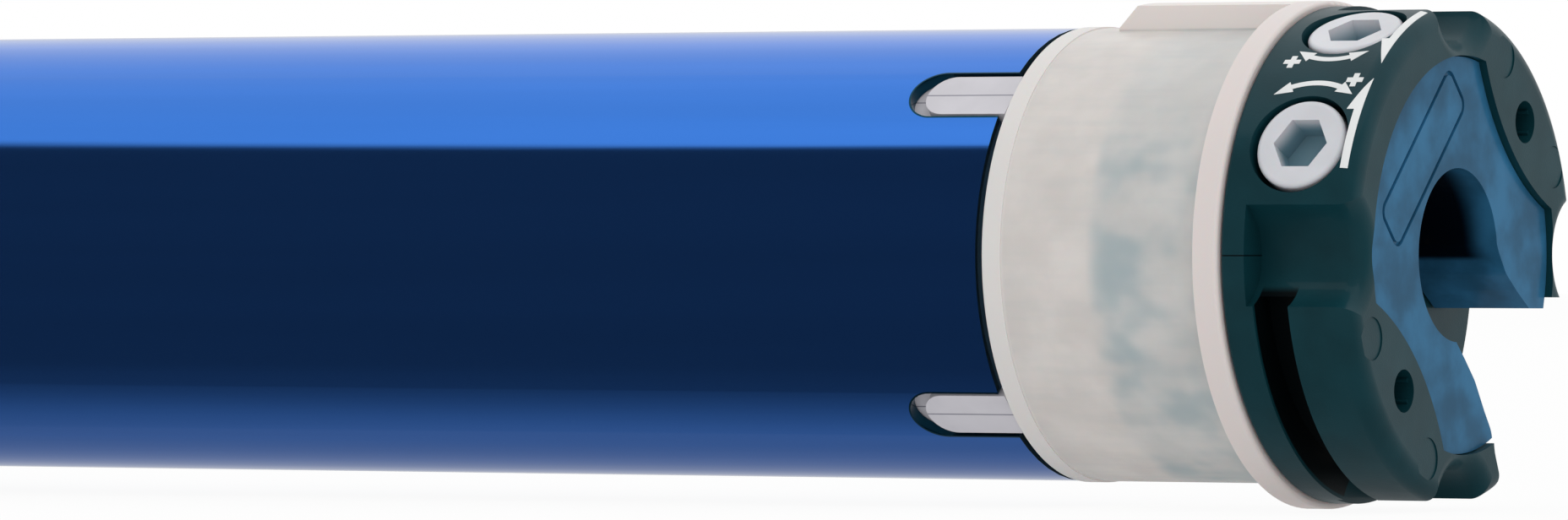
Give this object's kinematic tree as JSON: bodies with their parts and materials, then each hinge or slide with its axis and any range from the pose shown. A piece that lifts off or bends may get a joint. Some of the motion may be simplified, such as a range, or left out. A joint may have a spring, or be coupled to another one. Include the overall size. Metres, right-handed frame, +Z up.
{
  "type": "tubular roller blind motor",
  "caption": "Tubular roller blind motor with a round tube, turning crown, notched head with limit adjusters and U-shaped cable opening, and a geared output shaft with a drive wheel.",
  "frame": {"origin": "centre of the head's front face, on the motor's axis", "axes": "+X out of the head's face along the motor's axis, +Z up through the crown's key"},
  "size_m": [0.3863, 0.0498, 0.0498],
  "materials": {
    "housing_plastic": "fine grain, dark green black",
    "insert_plastic": "glossy blue",
    "tube_lacquer": "glossy blue lacquer",
    "crown_nylon": "translucent natural nylon",
    "white_nylon": "white nylon",
    "black_plastic": "black",
    "brass": "plain",
    "zinc_steel": "zinc plated",
    "gear_steel": "hardened steel",
    "core_steel": "laminated",
    "copper": "enamelled copper",
    "bronze": "sintered bronze",
    "aluminium": "die cast",
    "wire_cover": "soft cover",
    "board": "green board",
    "friction_lining": "brake lining",
    "wheel_plastic": "glass filled nylon",
    "plunger_plastic": "red"
  },
  "bodies": {
    "motor_body": {"head_housing": "housing_plastic", "neck_plate": "housing_plastic", "head_insert": "insert_plastic", "inlet_socket": "black_plastic", "inlet_pins": "brass", "chassis_screws": "zinc_steel", "limit_chassis": "white_nylon", "limit_rear_plate": "white_nylon", "guide_rods": "zinc_steel", "microswitches": "black_plastic", "switch_terminals": "brass", "lead_wires": "wire_cover", "terminal_board": "board", "capacitor_cradle": "black_plastic", "run_capacitor": "aluminium", "motor_tube": "tube_lacquer", "front_shield": "aluminium", "rear_shield": "aluminium", "bronze_bushes": "bronze", "stator_core": "core_steel", "stator_windings": "copper", "brake_magnet": "zinc_steel", "brake_coil": "copper", "brake_spring": "zinc_steel", "gearbox_plate": "zinc_steel", "ring_gear": "gear_steel", "end_cap": "black_plastic", "tube_screws": "zinc_steel"},
    "crown": {"crown": "crown_nylon"},
    "pickup_pinion": {"pickup_pinion": "brass"},
    "rotor": {"rotor_shaft": "gear_steel", "rotor_core": "core_steel", "brake_disc": "friction_lining"},
    "brake_armature": {"brake_armature": "zinc_steel"},
    "output": {"output_carrier": "gear_steel", "drive_wheel": "wheel_plastic", "drive_wheel_clip": "zinc_steel"},
    "adjuster_upper": {"adjuster_upper": "white_nylon"},
    "long_pinion_upper": {"long_pinion_upper": "zinc_steel"},
    "spindle_upper": {"spindle_upper": "zinc_steel"},
    "nut_carriage_upper": {"nut_carriage_upper": "white_nylon"},
    "limit_nut_upper": {"limit_nut_upper": "brass"},
    "adjuster_lower": {"adjuster_lower": "white_nylon"},
    "long_pinion_lower": {"long_pinion_lower": "zinc_steel"},
    "spindle_lower": {"spindle_lower": "zinc_steel"},
    "nut_carriage_lower": {"nut_carriage_lower": "white_nylon"},
    "limit_nut_lower": {"limit_nut_lower": "brass"},
    "switch_plunger_front": {"switch_plunger_front": "plunger_plastic"},
    "switch_plunger_rear": {"switch_plunger_rear": "plunger_plastic"},
    "carrier_1": {"carrier_1": "gear_steel"},
    "planet_1_1": {"planet_1_1": "gear_steel"},
    "planet_1_2": {"planet_1_2": "gear_steel"},
    "planet_1_3": {"planet_1_3": "gear_steel"},
    "carrier_2": {"carrier_2": "gear_steel"},
    "planet_2_1": {"planet_2_1": "gear_steel"},
    "planet_2_2": {"planet_2_2": "gear_steel"},
    "planet_2_3": {"planet_2_3": "gear_steel"},
    "planet_3_1": {"planet_3_1": "gear_steel"},
    "planet_3_2": {"planet_3_2": "gear_steel"},
    "planet_3_3": {"planet_3_3": "gear_steel"}
  },
  "joints": [
    {"name": "crown_turn", "type": "hinge", "parent": "motor_body", "child": "crown", "pos_m": [0, 0, 0], "axis": [1, 0, 0], "range_deg": [-2700, 2700]},
    {"name": "pickup_turn", "type": "hinge", "parent": "motor_body", "child": "pickup_pinion", "pos_m": [0, -0.01084, 0.01122], "axis": [1, 0, 0], "range_deg": [-14401, 14401]},
    {"name": "rotor_spin", "type": "hinge", "parent": "motor_body", "child": "rotor", "pos_m": [0, 0, 0], "axis": [1, 0, 0], "continuous": true},
    {"name": "brake_release", "type": "slide", "parent": "motor_body", "child": "brake_armature", "axis": [1, 0, 0], "range_m": [0, 0.0004], "stiffness_N_per_m": 20000, "springref_m": -0.001},
    {"name": "adjuster_upper_turn", "type": "hinge", "parent": "motor_body", "child": "adjuster_upper", "pos_m": [-0.0069, 0, 0], "axis": [0, -0.4187, 0.9081], "range_deg": [-1800, 1800]},
    {"name": "long_pinion_upper_turn", "type": "hinge", "parent": "motor_body", "child": "long_pinion_upper", "pos_m": [0, -0.00195, 0.01618], "axis": [1, 0, 0], "range_deg": [-181, 181]},
    {"name": "spindle_upper_turn", "type": "hinge", "parent": "motor_body", "child": "spindle_upper", "pos_m": [0, -0.00368, 0.01043], "axis": [1, 0, 0], "range_deg": [-14401, 14401]},
    {"name": "carriage_upper_slide", "type": "slide", "parent": "motor_body", "child": "nut_carriage_upper", "axis": [1, 0, 0], "range_m": [-0.02, 0.02]},
    {"name": "limit_nut_upper_turn", "type": "hinge", "parent": "nut_carriage_upper", "child": "limit_nut_upper", "pos_m": [-0.0748, -0.00368, 0.01043], "axis": [1, 0, 0], "range_deg": [-121, 121]},
    {"name": "adjuster_lower_turn", "type": "hinge", "parent": "motor_body", "child": "adjuster_lower", "pos_m": [-0.0069, 0, 0], "axis": [0, -0.893, 0.4501], "range_deg": [-1800, 1800]},
    {"name": "long_pinion_lower_turn", "type": "hinge", "parent": "motor_body", "child": "long_pinion_lower", "pos_m": [0, -0.0161, 0.00252], "axis": [1, 0, 0], "range_deg": [-181, 181]},
    {"name": "spindle_lower_turn", "type": "hinge", "parent": "motor_body", "child": "spindle_lower", "pos_m": [0, -0.0103, 0.00404], "axis": [1, 0, 0], "range_deg": [-14401, 14401]},
    {"name": "carriage_lower_slide", "type": "slide", "parent": "motor_body", "child": "nut_carriage_lower", "axis": [1, 0, 0], "range_m": [-0.02, 0.02]},
    {"name": "limit_nut_lower_turn", "type": "hinge", "parent": "nut_carriage_lower", "child": "limit_nut_lower", "pos_m": [-0.0748, -0.0103, 0.00404], "axis": [1, 0, 0], "range_deg": [-121, 121]},
    {"name": "switch_front_press", "type": "slide", "parent": "motor_body", "child": "switch_plunger_front", "axis": [0, 0.6947, -0.7193], "range_m": [0, 0.0008], "stiffness_N_per_m": 400},
    {"name": "switch_rear_press", "type": "slide", "parent": "motor_body", "child": "switch_plunger_rear", "axis": [0, 0.6947, -0.7193], "range_m": [0, 0.0008], "stiffness_N_per_m": 400},
    {"name": "carrier_1_turn", "type": "hinge", "parent": "motor_body", "child": "carrier_1", "pos_m": [0, 0, 0], "axis": [1, 0, 0], "continuous": true},
    {"name": "planet_1_1_turn", "type": "hinge", "parent": "carrier_1", "child": "planet_1_1", "pos_m": [0, 0.01145, 0], "axis": [1, 0, 0], "continuous": true},
    {"name": "planet_1_2_turn", "type": "hinge", "parent": "carrier_1", "child": "planet_1_2", "pos_m": [0, -0.00572, 0.00991], "axis": [1, 0, 0], "continuous": true},
    {"name": "planet_1_3_turn", "type": "hinge", "parent": "carrier_1", "child": "planet_1_3", "pos_m": [0, -0.00572, -0.00991], "axis": [1, 0, 0], "continuous": true},
    {"name": "carrier_2_turn", "type": "hinge", "parent": "motor_body", "child": "carrier_2", "pos_m": [0, 0, 0], "axis": [1, 0, 0], "continuous": true},
    {"name": "planet_2_1_turn", "type": "hinge", "parent": "carrier_2", "child": "planet_2_1", "pos_m": [0, 0.01145, 0], "axis": [1, 0, 0], "continuous": true},
    {"name": "planet_2_2_turn", "type": "hinge", "parent": "carrier_2", "child": "planet_2_2", "pos_m": [0, -0.00572, 0.00991], "axis": [1, 0, 0], "continuous": true},
    {"name": "planet_2_3_turn", "type": "hinge", "parent": "carrier_2", "child": "planet_2_3", "pos_m": [0, -0.00572, -0.00991], "axis": [1, 0, 0], "continuous": true},
    {"name": "output_turn", "type": "hinge", "parent": "motor_body", "child": "output", "pos_m": [0, 0, 0], "axis": [1, 0, 0], "continuous": true},
    {"name": "planet_3_1_turn", "type": "hinge", "parent": "output", "child": "planet_3_1", "pos_m": [0, 0.01145, 0], "axis": [1, 0, 0], "continuous": true},
    {"name": "planet_3_2_turn", "type": "hinge", "parent": "output", "child": "planet_3_2", "pos_m": [0, -0.00572, 0.00991], "axis": [1, 0, 0], "continuous": true},
    {"name": "planet_3_3_turn", "type": "hinge", "parent": "output", "child": "planet_3_3", "pos_m": [0, -0.00572, -0.00991], "axis": [1, 0, 0], "continuous": true}
  ],
  "couplings": [
    {"joint": "pickup_turn", "follows": "crown_turn", "ratio": 5.3333},
    {"joint": "spindle_upper_turn", "follows": "crown_turn", "ratio": -5.3333},
    {"joint": "carriage_upper_slide", "follows": "crown_turn", "m_per_rad": 0.00042441},
    {"joint": "long_pinion_upper_turn", "follows": "adjuster_upper_turn", "ratio": 0.1},
    {"joint": "limit_nut_upper_turn", "follows": "adjuster_upper_turn", "ratio": -0.066667},
    {"joint": "spindle_lower_turn", "follows": "crown_turn", "ratio": -5.3333},
    {"joint": "carriage_lower_slide", "follows": "crown_turn", "m_per_rad": 0.00042441},
    {"joint": "long_pinion_lower_turn", "follows": "adjuster_lower_turn", "ratio": -0.1},
    {"joint": "limit_nut_lower_turn", "follows": "adjuster_lower_turn", "ratio": 0.066667},
    {"joint": "carrier_1_turn", "follows": "rotor_spin", "ratio": 0.22222},
    {"joint": "planet_1_1_turn", "follows": "rotor_spin", "ratio": -0.62222},
    {"joint": "planet_1_2_turn", "follows": "rotor_spin", "ratio": -0.62222},
    {"joint": "planet_1_3_turn", "follows": "rotor_spin", "ratio": -0.62222},
    {"joint": "carrier_2_turn", "follows": "rotor_spin", "ratio": 0.049383},
    {"joint": "planet_2_1_turn", "follows": "rotor_spin", "ratio": -0.13827},
    {"joint": "planet_2_2_turn", "follows": "rotor_spin", "ratio": -0.13827},
    {"joint": "planet_2_3_turn", "follows": "rotor_spin", "ratio": -0.13827},
    {"joint": "output_turn", "follows": "rotor_spin", "ratio": 0.010974},
    {"joint": "planet_3_1_turn", "follows": "rotor_spin", "ratio": -0.030727},
    {"joint": "planet_3_2_turn", "follows": "rotor_spin", "ratio": -0.030727},
    {"joint": "planet_3_3_turn", "follows": "rotor_spin", "ratio": -0.030727}
  ]
}
